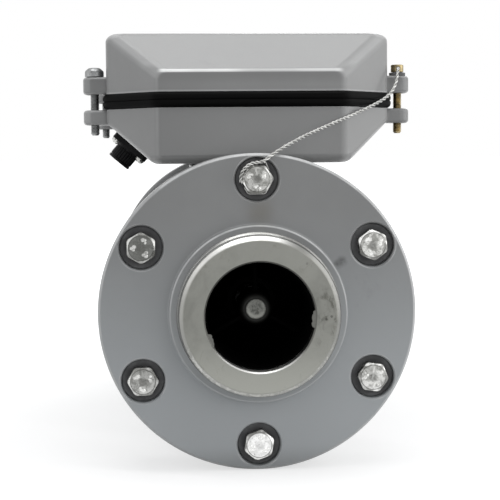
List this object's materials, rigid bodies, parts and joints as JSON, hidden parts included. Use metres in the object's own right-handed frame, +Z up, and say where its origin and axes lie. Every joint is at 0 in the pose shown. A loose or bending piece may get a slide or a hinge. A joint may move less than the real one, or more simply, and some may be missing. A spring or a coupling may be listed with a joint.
{
  "type": "ultrasonic gas meter",
  "caption": "In-line ultrasonic gas meter: a round flanged body with bolted end covers and pipe stubs, and a sealed electronics enclosure on top, secured by a wire seal.",
  "frame": {"origin": "on the pipe axis, in the plane of the inlet cover's boss face, where the inlet spigot starts", "axes": "+Y along the gas flow from inlet to outlet, +Z up towards the enclosure, +X to the right seen from the inlet"},
  "size_m": [0.1798, 0.296, 0.227],
  "materials": {
    "barrel_paint": "satin light grey paint on cast metal",
    "case_paint": "satin grey paint on cast aluminium",
    "nozzle_steel": "turned bare metal, dull and slightly stained",
    "bolt_zinc": "bright zinc plate",
    "washer_dark": "dark phosphate",
    "gasket_rubber": "matt black",
    "seal_rubber": "matt black",
    "carrier_black": "matt black moulding",
    "transducer_metal": "turned stainless",
    "tube_metal": "black anodised",
    "screw_black": "black oxide",
    "screw_steel": "zinc plate",
    "lid_screw_steel": "grey painted over",
    "seal_brass": "dull brass",
    "feed_resin": "cast resin",
    "window_clear": "clear polycarbonate",
    "display_panel": "glossy panel",
    "board_green": "solder mask",
    "button_plastic": "fine grain",
    "spring_steel": "spring wire",
    "holder_black": "moulded",
    "cell_sleeve": "shrink sleeve",
    "connector_black": "moulded, fine grain",
    "pin_gold": "gold flash",
    "wire_steel": "twisted bright wire"
  },
  "bodies": {
    "meter": {"body_barrel": "barrel_paint", "barrel_pedestal": "barrel_paint", "inlet_flange": "barrel_paint", "inlet_cover": "barrel_paint", "inlet_nozzle": "nozzle_steel", "inlet_cover_seal": "seal_rubber", "inlet_cover_bolts": "bolt_zinc", "inlet_cover_washers": "washer_dark", "inlet_liner": "carrier_black", "inlet_carrier": "carrier_black", "inlet_transducer": "transducer_metal", "outlet_flange": "barrel_paint", "outlet_cover": "barrel_paint", "outlet_nozzle": "nozzle_steel", "outlet_cover_seal": "seal_rubber", "outlet_cover_bolts": "bolt_zinc", "outlet_cover_washers": "washer_dark", "outlet_liner": "carrier_black", "outlet_carrier": "carrier_black", "outlet_transducer": "transducer_metal", "tube_plate": "tube_metal", "measuring_tube": "tube_metal", "tube_gasket": "seal_rubber", "tube_screws": "screw_black", "cable_feedthrough": "feed_resin", "base_seal": "seal_rubber", "enclosure_base": "case_paint", "base_screws": "screw_steel", "enclosure_gasket": "gasket_rubber", "enclosure_lid": "case_paint", "lid_screws": "lid_screw_steel", "seal_screw": "seal_brass", "seal_washer": "washer_dark", "window_pane": "window_clear", "window_gasket": "seal_rubber", "display_module": "display_panel", "display_board": "board_green", "display_screws": "screw_steel", "button_spring": "spring_steel", "button_switch": "holder_black", "main_board": "board_green", "board_screws": "screw_steel", "battery_holder": "holder_black", "battery_cells": "cell_sleeve", "connector_shell": "connector_black", "connector_insert": "pin_gold", "connector_gasket": "seal_rubber", "connector_screws": "screw_steel", "seal_wire": "wire_steel", "seal_wire_loop": "wire_steel"},
    "button": {"display_button": "button_plastic"}
  },
  "joints": [
    {"name": "button_press", "type": "slide", "parent": "meter", "child": "button", "axis": [0, 0, -1], "range_m": [0, 0.0015], "stiffness_N_per_m": 400, "deforming": ["button_spring"]}
  ]
}
